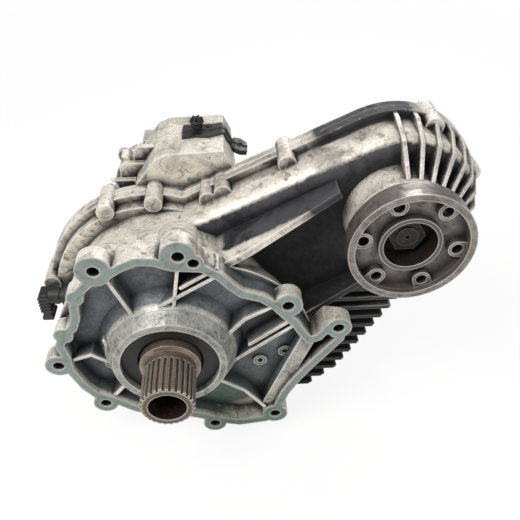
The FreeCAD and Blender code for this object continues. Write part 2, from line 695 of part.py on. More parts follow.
notch_round(shaft, "sun", SUN_R + " - " + ROOT, SUN_R + " + " + TIP + " + 0.5", GAP + " - " + ROOT + " * 0.75",
            GAP + " + (" + TIP + " + 0.5) * 0.9", "gearWidth + 0.1", "sunTeeth", "splineTip + gearFront - 0.05")
turn("bore_plug", [
    ("1", "0"), ("pilotBoreR", "0"), ("pilotBoreR", "6"), ("pilotBoreR - 1.5", "6"), ("pilotBoreR - 1.5", "1.5"), ("1", "1.5"),
], "0", "plugDepth", "0")

# ---------------------------------------------------------------- planetary set
annulus = turn("ring_gear", [
    (RING_R + " - " + TIP, "0"), ("ringRimR", "0"), ("ringRimR", "gearWidth"), (RING_R + " - " + TIP, "gearWidth"),
], "0", "gearFront", "0")
notch_round(annulus, "teeth", RING_R + " - " + TIP + " - 1", RING_R + " + " + ROOT, GAP + " + (" + TIP + " + 1) * 0.75",
            GAP + " - " + ROOT + " * 0.6", "gearWidth", "ringTeeth")

ORBIT = "moduleSize * (sunTeeth + planetTeeth) / 2"
planet_spots = {1: (ORBIT, "0"), 2: ("0", ORBIT), 3: ("-(" + ORBIT + ")", "0"), 4: ("0", "-(" + ORBIT + ")")}
for number, (px, pz) in planet_spots.items():
    planet = turn("planet_gear_%d" % number, [
        ("pinR + 0.1", "0"), (PLANET_R + " + " + TIP, "0"), (PLANET_R + " + " + TIP, "gearWidth - 2"), ("pinR + 0.1", "gearWidth - 2"),
    ], px, "gearFront + 1", pz)
    notch_round(planet, "teeth", PLANET_R + " - " + ROOT, PLANET_R + " + " + TIP + " + 0.5", GAP + " - " + ROOT + " * 0.9",
                GAP + " + (" + TIP + " + 0.5) * 1.15", "gearWidth - 2", "planetTeeth")
    if number in (1, 3):
        turned_half = FreeCAD.Rotation(Vector(0, 1, 0), 180 / size("planetTeeth"))
        planet.Placement = FreeCAD.Placement(planet.Placement.Base, turned_half)

orbit = size("moduleSize") * (size("sunTeeth") + size("planetTeeth")) / 2
gear_front = size("gearFront")
gear_back = gear_front + size("gearWidth")
plate = size("plateThick")


def planet_carrier():
    """Two plates held apart by four pillars, bored for the planets' pins."""
    parts = [
        ring(0, 0, size("carrierR"), size("inputNeckR") + 1, gear_front - plate - 0.5, gear_front - 0.5),
        ring(0, 0, size("carrierR"), size("noseR") + 1, gear_back + 0.5, gear_back + 0.5 + plate),
    ]
    for angle in range(45, 360, 90):
        x, z = polar(orbit, angle)
        parts.append(disc(x, z, 7.2, gear_front - 1, gear_back + 1))
    pins = [disc(*polar(orbit, a), size("pinR"), 0, 90) for a in range(0, 360, 90)]
    return fuse(parts).cut(pins[0].multiFuse(pins[1:]))


cast("planet_carrier", planet_carrier())
cast("planet_pins", Part.makeCompound([
    disc(*polar(orbit, a), size("pinR"), gear_front - plate - 0.5, gear_back + plate + 0.5) for a in range(0, 360, 90)
]))

# ---------------------------------------------------------------- rear output shaft and what rides on it
turn("main_shaft", [
    ("2", "0"), ("pilotR", "0"), ("pilotR", "gearFront - 8"), ("mainSplineR", "gearFront - 7"), ("mainSplineR", "chainFront - 18.3"),
    ("mainSeatR", "chainFront - 18.3"), ("mainSeatR", "rearBearingFront - 18"),
    ("tailSeatR", "rearBearingFront - 18"), ("tailSeatR", "rearBearingFront + bearingWidth - 18"),
    ("flangeSeatR", "rearBearingFront + bearingWidth - 18"), ("flangeSeatR", "rearFlangeFace - nutSeatDepth - 18"),
    ("threadR", "rearFlangeFace - nutSeatDepth - 18"), ("threadR", "rearFlangeFace - nutSeatDepth + nutHeight - 16"),
    ("2", "rearFlangeFace - nutSeatDepth + nutHeight - 16"),
], "0", "18", "0")
turn("pilot_bearing", [
    ("pilotR + 0.05", "0"), ("pilotBoreR - 0.05", "0"), ("pilotBoreR - 0.05", "18"), ("pilotR + 0.05", "18"),
], "0", "20", "0")
sprocket_r = "chainPitch / 2 / sin(180 deg / sprocketTeeth)"


def sprocket(label, bore, hub_r, hub_end, x, z):
    """Inverted-tooth chain sprocket: a dished disc between its hub and its toothed rim."""
    body = turn(label, [
        (bore, "0"), (bore + " + 9", "0"), (bore + " + 10", "5"), (sprocket_r + " - 11", "5"), (sprocket_r + " - 10", "0"),
        (sprocket_r + " - 0.6", "0"), (sprocket_r + " - 0.6", "chainWidth"), (sprocket_r + " - 10", "chainWidth"),
        (sprocket_r + " - 11", "chainWidth - 5"), (bore + " + 10", "chainWidth - 5"), (hub_r, "chainWidth"), (hub_r, hub_end), (bore, hub_end),
    ], x, "chainFront", z)
    notch_round(body, "teeth", sprocket_r + " - 0.6 - toothDepth - 0.8", sprocket_r + " + 1", "chainPitch * 0.36",
                "chainPitch * 0.66", "chainWidth", "sprocketTeeth")
    body.Placement = FreeCAD.Placement(body.Placement.Base, FreeCAD.Rotation(Vector(0, 1, 0), -size("axisTilt")))
    return body


sprocket("drive_sprocket", "mainSeatR + 3", "collarR - 3", "chainWidth + 5", "0", "0")
sprocket("driven_sprocket", "mainSeatR", "mainSeatR + 9", "chainWidth + 1", OUT_X, OUT_Z)
turn("sprocket_needles", [
    ("mainSeatR + 0.05", "0"), ("mainSeatR + 2.95", "0"), ("mainSeatR + 2.95", "chainWidth - 2"), ("mainSeatR + 0.05", "chainWidth - 2"),
], "0", "chainFront + 1", "0")


def drive_chain():
    """Inverted-tooth chain as one closed band with a tooth for every pitch."""
    front = size("chainFront") + 0.5
    back = front + size("chainWidth") - 1
    band = prism(belt(chain_outer_r, chain_outer_r), front, back).cut(
        prism(belt(chain_pitch_r - 0.3, chain_pitch_r - 0.3), front - 1, back + 1))
    base = chain_pitch_r - 0.3 + 0.4
    tip = chain_pitch_r - 0.3 - size("toothDepth")
    broad = size("chainPitch") * 0.29
    slim = size("chainPitch") * 0.15
    teeth = []

    def tooth(place, inward):
        side = (-inward[1], inward[0])
        drop = size("toothDepth") + 0.4
        corners = []
        for reach, half in ((0, -broad), (drop, -slim), (drop, slim), (0, broad)):
            corners.append((place[0] + inward[0] * reach + side[0] * half, place[1] + inward[1] * reach + side[1] * half))
        teeth.append(prism(loop(corners), front, back))

    half_links = int(size("sprocketTeeth") / 2)
    step = 360 / size("sprocketTeeth")
    for i in range(half_links + 1):
        angle = size("axisTilt") + 90 + i * step
        tooth(polar(base, angle), polar(-1, angle))
        angle += 180
        tooth(polar(base, angle, (out_x, out_z)), polar(-1, angle))
    runs = int((size("chainLinks") - size("sprocketTeeth")) / 2)
    for i in range(1, runs):
        for sign in (1, -1):
            inward = (sign * along[1], -sign * along[0])
            tooth(beside(i * size("chainPitch"), sign * base), inward)
    return band.multiFuse(teeth).removeSplitter()


cast("drive_chain", drive_chain())


def grooved_sleeve(label, bore, nose, groove_face, front, back):
    """Sliding sleeve with a fork groove between two collars."""
    turn(label, [
        (bore, "0"), (nose, "0"), (nose, groove_face + " - 3 - (" + front + ")"),
        ("collarR" if nose == "noseR" else "collarR + 8", groove_face + " - 3 - (" + front + ")"),
        ("collarR" if nose == "noseR" else "collarR + 8", groove_face + " - (" + front + ")"),
        ("grooveR" if nose == "noseR" else "collarR + 3", groove_face + " - (" + front + ")"),
        ("grooveR" if nose == "noseR" else "collarR + 3", groove_face + " + grooveWidth - (" + front + ")"),
        ("collarR" if nose == "noseR" else "collarR + 8", groove_face + " + grooveWidth - (" + front + ")"),
        ("collarR" if nose == "noseR" else "collarR + 8", back + " - (" + front + ")"), (bore, back + " - (" + front + ")"),
    ], "0", front, "0")


grooved_sleeve("range_sleeve", "mainSplineR + 0.05", "noseR", "rangeGroove", "gearFront + 12", "rangeGroove + grooveWidth + 3")
turn("mode_hub", [
    ("mainSeatR", "0"), ("collarR - 3", "0"), ("collarR - 3", "7.5"), ("mainSeatR", "7.5"),
], "0", "chainFront + chainWidth + 5.5", "0")
grooved_sleeve("mode_sleeve", "collarR - 3 + 0.05", "collarR + 2", "modeGroove", "modeGroove - 6", "modeGroove + grooveWidth + 2.5")

# ---------------------------------------------------------------- front output shaft
TIP_Y = "flangeFront + nutSeatDepth - nutHeight - 2"
turn("front_output_shaft", [
    ("2", "0"), ("threadR", "0"), ("threadR", "nutHeight + 2"),
    ("flangeSeatR", "nutHeight + 2"), ("flangeSeatR", "outBearingFront - (" + TIP_Y + ")"),
    ("tailSeatR", "outBearingFront - (" + TIP_Y + ")"), ("tailSeatR", "outBearingFront + bearingWidth - (" + TIP_Y + ")"),
    ("tailSeatR + 4", "outBearingFront + bearingWidth - (" + TIP_Y + ")"), ("tailSeatR + 4", "chainFront - (" + TIP_Y + ")"),
    ("mainSeatR", "chainFront - (" + TIP_Y + ")"), ("mainSeatR", "chainFront + chainWidth - (" + TIP_Y + ")"),
    ("flangeSeatR", "chainFront + chainWidth - (" + TIP_Y + ")"),
    ("flangeSeatR", "partingFace + rearEndDepth + 14 - (" + TIP_Y + ")"),
    ("2", "partingFace + rearEndDepth + 14 - (" + TIP_Y + ")"),
], OUT_X, TIP_Y, OUT_Z)


def bolt_angle(i):
    return -8.3 + 360 / size("flangeBolts") * i


def companion_flange(hub_end):
    """Cup-shaped six-bolt flange, its open face at zero and its hub running back."""
    face = size("flangeRimDepth")
    back = face + size("flangeThick")
    body = disc(0, 0, size("flangeR"), 0, back - 3).fuse(cone(0, 0, size("flangeR"), size("flangeR") - 4, back - 3, back))
    seat = face - size("seatRise")
    body = body.cut(disc(0, 0, size("flangeRimR"), -1, face))
    # the register wall stops short of the bolt seats in a relief groove
    body = body.cut(disc(0, 0, size("flangeRimR") + 0.6, seat - 0.3, face))
    parts = [body, disc(0, 0, size("hubR"), seat, hub_end)]
    parts.append(cone(0, 0, size("hubR") + 5, size("hubR"), back - 1, back + 4))
    for i in range(int(size("flangeBolts"))):
        x, z = polar(size("flangePcd") / 2, bolt_angle(i))
        outward = polar(size("flangeR") - 3, bolt_angle(i))
        lobe = slab((x, z), outward, 2 * size("flangeHoleR") + 6.4, seat, face + 1)
        parts.append(lobe.common(disc(0, 0, size("flangeR") - 1, seat, face + 1)))
    body = fuse(parts)
    body = body.cut(disc(0, 0, size("hubBoreR"), -1, size("nutSeatDepth")))
    body = body.cut(disc(0, 0, size("flangeSeatR"), 0, hub_end + 1))
    holes = []
    for i in range(int(size("flangeBolts"))):
        x, z = polar(size("flangePcd") / 2, bolt_angle(i))
        holes.append(disc(x, z, size("flangeHoleR"), -1, back + 1))
    return body.cut(holes[0].multiFuse(holes[1:])).removeSplitter()


front_flange = cast("front_output_flange", companion_flange(size("outBearingFront") - size("flangeFront")))
rear_hub = size("rearFlangeFace") - size("rearBearingFront") - size("bearingWidth")
rear_flange = cast("rear_output_flange", companion_flange(rear_hub))


def flange_nut():
    """Collared hexagon nut; its collar bears on the step inside a flange hub."""
    height = size("nutHeight")
    corners = [polar(17, 60 * i) for i in range(6)]
    nut = prism(loop(corners), 0, height - 3).fuse(disc(0, 0, 17.6, height - 3, height))
    return nut.cut(disc(0, 0, size("threadR"), -1, height + 1)).removeSplitter()


front_nut = cast("front_flange_nut", flange_nut())
rear_nut = cast("rear_flange_nut", flange_nut())
for piece in (front_flange, front_nut):
    piece.setExpression("Placement.Base.x", bind(OUT_X))
    piece.setExpression("Placement.Base.z", bind(OUT_Z))
front_flange.setExpression("Placement.Base.y", bind("flangeFront"))
front_nut.setExpression("Placement.Base.y", bind("flangeFront + nutSeatDepth - nutHeight"))
for piece, depth in ((rear_flange, "rearFlangeFace"), (rear_nut, "rearFlangeFace - nutSeatDepth + nutHeight")):
    piece.Placement = FreeCAD.Placement(Vector(0, 0, 0), FreeCAD.Rotation(Vector(0, 0, 1), 180))
    piece.setExpression("Placement.Base.y", bind(depth))


# ---------------------------------------------------------------- gear change
pin_rest = size("chainFront") + 5
drum_front = size("chainFront") - 0.5


def shift_shaft():
    """Selector shaft with a cam drum; its helical slot draws the range fork back."""
    drum = disc(*shift, size("drumR"), drum_front, drum_front + 22)
    shaft = disc(*shift, size("shiftR"), 31.3, motor_face + 5)
    steps = 8
    drills = []
    for i in range(steps + 1):
        share = i / steps
        angle = shift_angle + size("selectorTurn") * share
        base = polar(size("drumR") - 3.4, angle, shift)
        reach = Vector(math.cos(degrees(angle)), 0, math.sin(degrees(angle)))
        drills.append(Part.makeCylinder(2.7, 8, Vector(base[0], pin_rest + size("rangeTravel") * share, base[1]), reach))
    return drum.fuse(shaft).cut(drills[0].multiFuse(drills[1:]))


def fork(groove, groove_r, outer, hub_front, hub_back):
    """Shift fork: a hub on the selector shaft and a horseshoe plate in a sleeve's groove."""
    front = size(groove) + (size("grooveWidth") - size("forkThick")) / 2
    back = front + size("forkThick")
    shoe = ring(0, 0, outer, groove_r + size("sideGap"), front, back)
    mouth = prism(loop([polar(5, shift_angle + 180), polar(120, shift_angle + 88), polar(120, shift_angle + 180),
                        polar(120, shift_angle - 88)]), front - 1, back + 1)
    arm = slab(polar(outer - 4, shift_angle), shift, 20, front, back)
    arm = arm.fuse(slab(polar(outer - 6, shift_angle + 40), shift, 9, front, back))
    arm = arm.fuse(slab(polar(outer - 6, shift_angle - 40), shift, 9, front, back))
    arm = arm.cut(disc(0, 0, outer - 3, front - 1, back + 1))
    hub = disc(*shift, size("shiftR") + 6, hub_front, hub_back)
    body = fuse([shoe.cut(mouth), arm, hub])
    return body.cut(disc(*shift, size("shiftR") + 0.05, hub_front - 1, hub_back + 1))


def range_fork():
    """The range fork also carries the finger whose pin runs in the drum's slot."""
    body = fork("rangeGroove", size("grooveR"), 44, 57, drum_front - size("rangeTravel") - 0.8)
    inner = size("drumR") + 1
    blade = Part.makeBox(3, pin_rest + 4 - 60, 9, Vector(inner, 60, -4.5))
    pin = Part.makeCylinder(2, 4.4, Vector(inner - 3.2, pin_rest, 0), Vector(1, 0, 0))
    finger = blade.fuse(pin)
    finger.rotate(Vector(0, 0, 0), Vector(0, 1, 0), -shift_angle)
    finger.translate(Vector(shift[0], 0, shift[1]))
    return body.fuse(finger).removeSplitter()


cast("shift_shaft", shift_shaft())
cast("range_fork", range_fork())
cast("mode_fork", fork("modeGroove", size("collarR") + 3, 52, drum_front + 23, size("modeGroove") + 12))

# ---------------------------------------------------------------- oil pump and its pickup
pump_front = lid_back - wall
pump = disc(0, 0, 50, pump_front, lid_back + 4)
pump = pump.cut(disc(0, 0, 30.3, pump_front + 2, lid_back + 1)).cut(disc(0, 0, size("mainSeatR") + 0.6, pump_front - 1, lid_back + 5))
cast("oil_pump", pump)
turn("pump_rotor", [("mainSeatR", "0"), ("30", "0"), ("30", "wallThick - 1.6"), ("mainSeatR", "wallThick - 1.6")],
     "0", "lidBack - wallThick + 2.3", "0")


def pipe(points, radius):
    """Straight lengths with ball corners, for a short rigid tube."""
    corners = [Vector(*p) for p in points]
    runs = []
    for a, b in zip(corners, corners[1:]):
        runs.append(Part.makeCylinder(radius, (b - a).Length, a, b - a))
        runs.append(Part.makeSphere(radius, b))
    return runs


pickup = pipe([(22, pump_front - 3.7, -43), (62, pump_front - 3.7, -38), (80, pump_front - 5, -40), (102, pump_front - 9, -70)], 3.6)
pickup.append(prism(loop([(90, -64), (112, -64), (116, -78), (96, -76)]), pump_front - 20, pump_front - 2))
cast("oil_pickup", fuse(pickup))
cast("sump_magnet", disc(126, -66, 10, size("sumpRear") - 22, size("sumpRear") - 18))

# ---------------------------------------------------------------- fasteners and fittings
def hexagon(radius, x, z, front, back):
    return prism(loop([polar(radius, 60 * i + 15, (x, z)) for i in range(6)]), front, back)


def screw(x, z, shank_r, head_r, head_front, head, length):
    """Hexagon-head screw whose head is behind and whose shank runs forward."""
    return hexagon(head_r, x, z, head_front, head_front + head).fuse(disc(x, z, shank_r, head_front - length, head_front))


bolts = [screw(x, z, size("caseBoltR"), size("caseBoltHead"), parting + 14, 6, 34) for x, z in lug_places()]
cast("case_bolts", Part.makeCompound(bolts))
places = [polar(size("tailBoltCircle"), a) for a in tail_angles]
cast("extension_bolts", Part.makeCompound([
    screw(x, z, size("tailBoltR"), 5.4, size("tailEnd") + 8, 5, 8 + 10) for x, z in places
]))
cast("drain_plug", screw(*DRAIN, 7, 10, size("sumpRear"), 6, 12))
cast("fill_plug", screw(*FILL, 7, 10, size("sumpRear"), 6, 12))
motor = disc(*shift, 30, motor_face, motor_face + 4).fuse(disc(*shift, 27, motor_face + 4, motor_face + 38))
motor = motor.fuse(disc(*shift, 18, motor_face + 38, motor_face + 46))
lobes = [slab(shift, polar(36, a, shift), 15, motor_face, motor_face + 6) for a in motor_lobes]
socket = Part.makeBox(16, 26, 22, Vector(shift[0] + 4, motor_face + 12, shift[1] + 22))
motor = fuse([motor, socket] + lobes)
motor_holes = [disc(*shift, size("shiftR") + 0.3, motor_face - 1, motor_face + 5.5)]
motor_holes += [disc(*polar(36, a, shift), 3.2, motor_face - 1, motor_face + 7) for a in motor_lobes]
cast("shift_motor", motor.cut(motor_holes[0].multiFuse(motor_holes[1:])).removeSplitter())
cast("motor_bolts", Part.makeCompound([
    screw(*polar(36, a, shift), 3, 5, motor_face + 6, 4, 13) for a in motor_lobes
]))
strap = prism(loop([(17, 152.9), (58.5, 154.1), (66.3, 138), (82, 134), (83, 137), (68.5, 141), (61, 158), (17, 156.5)]), 148, 178)
cast("harness_bracket", strap.cut(Part.makeCylinder(4.1, 20, Vector(32, 163, 145), Vector(0, 0, 1))))
cast("breather", Part.makeCylinder(4, 6, Vector(32, 163, 156.9), Vector(0, 0, 1)).fuse(
    Part.makeCylinder(7.5, 9, Vector(32, 163, 161.5), Vector(0, 0, 1))))
switch = switch_stem(9, 0).fuse(Part.makeBox(12, 20, 34, Vector(-137, 64, -8)))
cast("position_switch", switch)

# ---------------------------------------------------------------- check and export
doc.recompute()
os.makedirs("parts", exist_ok=True)
for thing in doc.Objects:
    if "Invalid" in thing.State or "Error" in thing.State:
        raise RuntimeError("%s did not build: %s" % (thing.Label, thing.State))
for piece in nodes:
    if piece.Shape.isNull() or not piece.Shape.isValid():
        raise RuntimeError("%s has no valid shape" % piece.Label)
for piece in nodes:
    piece.Shape.exportStep("parts/%s.step" % piece.Label)
    print(piece.Label, len(piece.Shape.Solids), round(piece.Shape.Volume))
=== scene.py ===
import json
import math
import bmesh
import bpy
from mathutils import Matrix, Vector


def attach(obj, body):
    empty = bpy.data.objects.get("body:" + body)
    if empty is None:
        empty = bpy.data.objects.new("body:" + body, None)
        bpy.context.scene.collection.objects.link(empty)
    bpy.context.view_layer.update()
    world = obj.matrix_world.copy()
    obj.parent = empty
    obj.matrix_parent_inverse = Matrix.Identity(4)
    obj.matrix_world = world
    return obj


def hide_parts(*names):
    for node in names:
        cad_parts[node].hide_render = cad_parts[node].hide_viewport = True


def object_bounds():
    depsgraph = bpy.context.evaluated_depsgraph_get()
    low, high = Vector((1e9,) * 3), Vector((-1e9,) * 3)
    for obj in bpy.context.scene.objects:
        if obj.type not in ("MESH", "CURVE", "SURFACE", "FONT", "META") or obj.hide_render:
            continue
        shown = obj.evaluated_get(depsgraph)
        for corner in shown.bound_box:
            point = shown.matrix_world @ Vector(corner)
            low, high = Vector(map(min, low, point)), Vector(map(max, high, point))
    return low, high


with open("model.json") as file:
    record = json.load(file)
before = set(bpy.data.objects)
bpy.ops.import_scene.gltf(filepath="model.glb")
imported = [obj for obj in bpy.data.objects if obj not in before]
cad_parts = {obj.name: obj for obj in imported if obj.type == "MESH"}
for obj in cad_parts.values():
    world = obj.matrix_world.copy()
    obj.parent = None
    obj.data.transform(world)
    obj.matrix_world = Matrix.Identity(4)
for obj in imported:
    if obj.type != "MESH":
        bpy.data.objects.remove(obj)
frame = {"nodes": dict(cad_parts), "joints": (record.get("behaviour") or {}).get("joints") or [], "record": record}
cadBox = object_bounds()
nodes = frame["nodes"]
print("model loaded:", len(nodes), "pieces")

mm = 0.001
# the front output's axis, and the line to it from the input's
outputAxis = Vector(next(joint["pos_m"] for joint in frame["joints"] if joint["name"] == "front_output_spin"))
tilt = outputAxis.normalized()


def linear(hexText):
    channels = [int(hexText[i:i + 2], 16) / 255 for i in (1, 3, 5)]
    return tuple(c / 12.92 if c <= 0.04045 else ((c + 0.055) / 1.055) ** 2.4 for c in channels) + (1.0,)


# Settings name the node's own options and its inputs; an input takes a socket, a hex colour or a number
def addNode(tree, kind, settings):
    node = tree.nodes.new("ShaderNode" + kind)
    for name, value in settings.items():
        if isinstance(name, str) and hasattr(node, name):
            setattr(node, name, value)
        elif isinstance(value, bpy.types.NodeSocket):
            tree.links.new(value, node.inputs[name])
        elif isinstance(value, str):
            node.inputs[name].default_value = linear(value)
        else:
            node.inputs[name].default_value = value
    return node


def newMaterial(name):
    material = bpy.data.materials.new(name)
    material.use_nodes = True
    tree = material.node_tree
    tree.nodes.clear()
    shader = addNode(tree, "BsdfPrincipled", {})
    addNode(tree, "OutputMaterial", {"Surface": shader.outputs[0]})
    place = addNode(tree, "TexCoord", {}).outputs["Object"]
    return material, tree, shader, place


# Camera, light and the floor it stands on
stageSettings = {
    "cameraPlace": (0.0615, -0.4022, 0.4409),
    "cameraAim": (0.1085, 0.3738, -0.1881),
    "lens": 42.13,
    "sensor": 36,
    "lampAim": (0.08, 0.1, 0.04),
    # place, size and power of each lamp
    "lamps": {
        "keyLamp": ((-0.7, -0.5, 1.3), 0.9, 24),
        "fillLamp": ((1.1, -0.9, 0.5), 1.0, 5),
        "backLamp": ((0.5, 1.1, 0.9), 0.8, 7),
    },
    "worldLevel": 0.42,
    "floorColour": "#f2f2f0",
    "floorRough": 0.9,
    "floorHalf": 4,
    "floorDrop": 0.4 * mm,
    # the floor's own glow to the camera, near the object and far from it
    "glowReach": (0.5, 1.8),
    "glowShare": (0.88, 1.0),
}
stage = stageSettings


def aimAt(holder, place, aim):
    holder.location = place
    holder.rotation_euler = (Vector(aim) - Vector(place)).to_track_quat("-Z", "Y").to_euler()
    bpy.context.scene.collection.objects.link(holder)


camera = bpy.data.objects.new("camera", bpy.data.cameras.new("camera"))
aimAt(camera, stage["cameraPlace"], stage["cameraAim"])
camera.data.lens = stage["lens"]
camera.data.sensor_width = stage["sensor"]
camera.data.clip_start = 0.01
bpy.context.scene.camera = camera
bpy.context.scene.view_settings.view_transform = "Standard"

for name, (place, size, power) in stage["lamps"].items():
    lamp = bpy.data.lights.new(name, "AREA")
    lamp.shape = "DISK"
    lamp.size = size
    lamp.energy = power
    aimAt(bpy.data.objects.new(name, lamp), place, stage["lampAim"])

world = bpy.data.worlds.new("studio")
bpy.context.scene.world = world
world.use_nodes = True
tree = world.node_tree
tree.nodes.clear()
path = addNode(tree, "LightPath", {}).outputs
seen = {"operation": "MAXIMUM", 0: path["Is Camera Ray"], 1: path["Is Transmission Ray"]}
seen = addNode(tree, "Math", seen).outputs[0]
level = {"Value": seen, "To Min": stage["worldLevel"], "To Max": 1.0}
level = addNode(tree, "MapRange", level).outputs[0]
sky = addNode(tree, "Background", {"Color": "#ffffff", "Strength": level})
addNode(tree, "OutputWorld", {"Surface": sky.outputs[0]})

half, floorZ = stage["floorHalf"], cadBox[0][2] - stage["floorDrop"]
corners = [(-half, -half, floorZ), (half, -half, floorZ), (half, half, floorZ), (-half, half, floorZ)]
floorMesh = bpy.data.meshes.new("floor")
floorMesh.from_pydata(corners, [], [(0, 1, 2, 3)])
floor = bpy.data.objects.new("floor", floorMesh)
bpy.context.scene.collection.objects.link(floor)
floorPaint, tree, shader, place = newMaterial("studioFloor")
shader.inputs["Base Color"].default_value = linear(stage["floorColour"])
shader.inputs["Roughness"].default_value = stage["floorRough"]
glow = addNode(tree, "Emission", {"Color": "#ffffff", "Strength": 1.0})
away = addNode(tree, "VectorMath", {"operation": "LENGTH", 0: place}).outputs["Value"]
near, far = stage["glowReach"]
least, most = stage["glowShare"]
fade = {"Value": away, "From Min": near, "From Max": far, "To Min": least, "To Max": most}
fade = addNode(tree, "MapRange", fade).outputs[0]
cameraRay = addNode(tree, "LightPath", {}).outputs["Is Camera Ray"]
share = addNode(tree, "Math", {"operation": "MULTIPLY", 0: cameraRay, 1: fade}).outputs[0]
both = addNode(tree, "MixShader", {"Fac": share, 1: shader.outputs[0], 2: glow.outputs[0]})
tree.links.new(both.outputs[0], tree.nodes["Material Output"].inputs["Surface"])
floorMesh.materials.append(floorPaint)
print("camera, lamps and floor set")


# What a finish follows: noise of a real size in mm, and how deep in a corner or near an edge a spot lies
def surfaceGuides(tree, place, s):
    guides = {}
    for name, (grain, detail, rough, twist) in s["patterns"].items():
        pattern = {"Vector": place, "Scale": 1 / (grain * mm), "Detail": detail, "Roughness": rough}
        guides[name] = addNode(tree, "TexNoise", dict(pattern, Distortion=twist)).outputs["Fac"]
    for name, reach in s["reaches"].items():
        hollow = {"samples": 6, "inside": name == "edge", "Distance": reach * mm}
        guides[name] = addNode(tree, "AmbientOcclusion", hollow).outputs["AO"]
    return guides


# A mask made of fades that multiply: each names its guide, where it starts and ends, and from what to what
def maskOf(tree, guides, fades):
    mask = None
    for guide, start, end, *reach in fades:
        least, most = reach or (0, 1)
        fade = {"Value": guides[guide], "From Min": start, "From Max": end, "To Min": least, "To Max": most}
        fade = addNode(tree, "MapRange", fade).outputs[0]
        if mask is None:
            mask = fade
        else:
            product = {"operation": "MULTIPLY", "use_clamp": True, 0: mask, 1: fade}
            mask = addNode(tree, "Math", product).outputs[0]
    return mask


def largestOf(tree, masks):
    largest = masks[0]
    for mask in masks[1:]:
        larger = {"operation": "MAXIMUM", "use_clamp": True, 0: largest, 1: mask}
        largest = addNode(tree, "Math", larger).outputs[0]
    return largest


# Coats of colour one over the other: each with its share, its colour, and how it mixes
def coated(tree, colour, coats):
    for share, coat, *way in coats:
        mix = {"data_type": "RGBA", "blend_type": way[0] if way else "MIX", 0: share, 6: colour, 7: coat}
        colour = addNode(tree, "Mix", mix).outputs[2]
    return colour


def finishSurface(tree, shader, s, colour, metal, rough, height, strength):
    rounded = addNode(tree, "Bevel", {"samples": 4, "Radius": s["edgeRadius"] * mm}).outputs[0]
    bump = {"Distance": s["grainDepth"] * mm, "Strength": strength, "Height": height, "Normal": rounded}
    bump = addNode(tree, "Bump", bump).outputs[0]
    for name, socket in (("Base Color", colour), ("Metallic", metal), ("Roughness", rough), ("Normal", bump)):
        tree.links.new(socket, shader.inputs[name])


